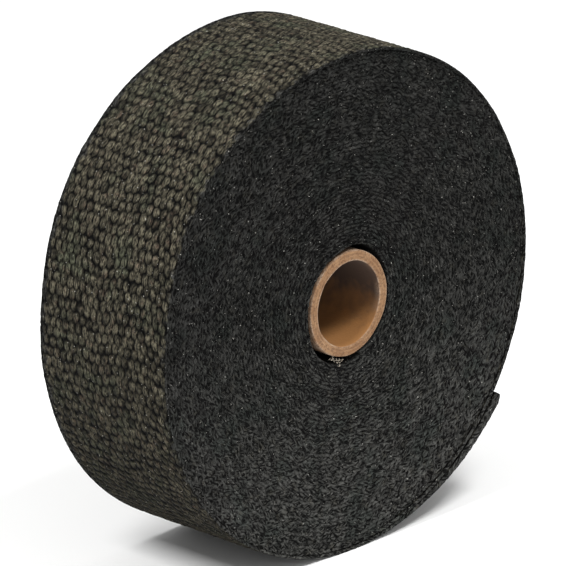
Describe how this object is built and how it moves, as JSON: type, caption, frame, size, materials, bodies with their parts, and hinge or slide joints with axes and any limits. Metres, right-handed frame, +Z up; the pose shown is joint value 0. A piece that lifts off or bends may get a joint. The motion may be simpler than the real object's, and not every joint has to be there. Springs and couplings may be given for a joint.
{
  "type": "exhaust heat wrap roll",
  "caption": "Roll of dark woven glass-fibre heat tape wound on a plain cardboard core, standing on its rim with its loose end lifted.",
  "frame": {"origin": "middle of the roll's footprint, on the floor that its rim stands on", "axes": "+Y along the roll's axis, so that the end seen in the picture faces -Y; +Z up; +X to the right of that end, on the loose end's side"},
  "size_m": [0.1548, 0.0512, 0.1554],
  "materials": {
    "woven_wrap": "matt woven glass-fibre tape, charcoal with an olive cast",
    "cardboard": null
  },
  "bodies": {
    "root": {"wound_tape": "woven_wrap", "cardboard_core": "cardboard"}
  },
  "joints": []
}
